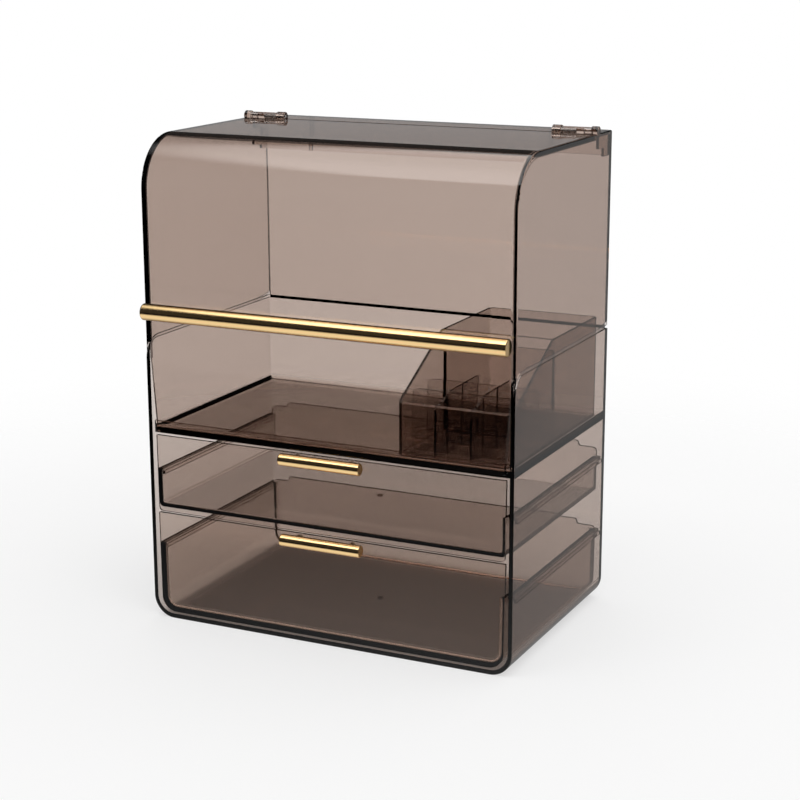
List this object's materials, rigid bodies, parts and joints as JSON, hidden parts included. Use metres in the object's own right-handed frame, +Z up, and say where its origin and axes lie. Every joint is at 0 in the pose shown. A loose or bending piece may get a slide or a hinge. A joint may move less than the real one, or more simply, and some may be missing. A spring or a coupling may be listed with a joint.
{
  "type": "makeup organizer",
  "caption": "Clear smoked countertop makeup organizer: drawers below, an open tray with a divided box, and a flip-up hood that closes over it.",
  "frame": {"origin": "centre of the housing's underside, on the surface it stands on", "axes": "+X to the right seen from the front, +Y towards the back, +Z up"},
  "size_m": [0.2986, 0.1982, 0.3754],
  "materials": {
    "smoked_clear": "clear moulded plastic with a brown smoke tint",
    "gold_rod": "polished, gold coloured",
    "steel": "bright zinc"
  },
  "bodies": {
    "cabinet": {"housing": "smoked_clear", "rear_panel": "smoked_clear", "hinge_pin_left": "steel", "hinge_pin_right": "steel"},
    "hood": {"hood": "smoked_clear", "hood_handle": "gold_rod", "hood_handle_screw_left": "steel", "hood_handle_screw_right": "steel"},
    "upper_drawer": {"upper_drawer": "smoked_clear", "upper_drawer_handle": "gold_rod", "upper_handle_screw_left": "steel", "upper_handle_screw_right": "steel"},
    "lower_drawer": {"lower_drawer": "smoked_clear", "lower_drawer_handle": "gold_rod", "lower_handle_screw_left": "steel", "lower_handle_screw_right": "steel"},
    "insert": {"insert_box": "smoked_clear", "long_divider_left": "smoked_clear", "long_divider_right": "smoked_clear", "cross_divider_front": "smoked_clear", "cross_divider_rear": "smoked_clear"}
  },
  "joints": [
    {"name": "hood_hinge", "type": "hinge", "parent": "cabinet", "child": "hood", "pos_m": [0, 0.063, 0.3715], "axis": [-1, 0, 0], "range_deg": [0, 130]},
    {"name": "upper_drawer_slide", "type": "slide", "parent": "cabinet", "child": "upper_drawer", "axis": [0, -1, 0], "range_m": [0, 0.15]},
    {"name": "lower_drawer_slide", "type": "slide", "parent": "cabinet", "child": "lower_drawer", "axis": [0, -1, 0], "range_m": [0, 0.15]},
    {"name": "insert_lift", "type": "slide", "parent": "cabinet", "child": "insert", "axis": [0, 0, 1], "range_m": [0, 0.1]}
  ]
}
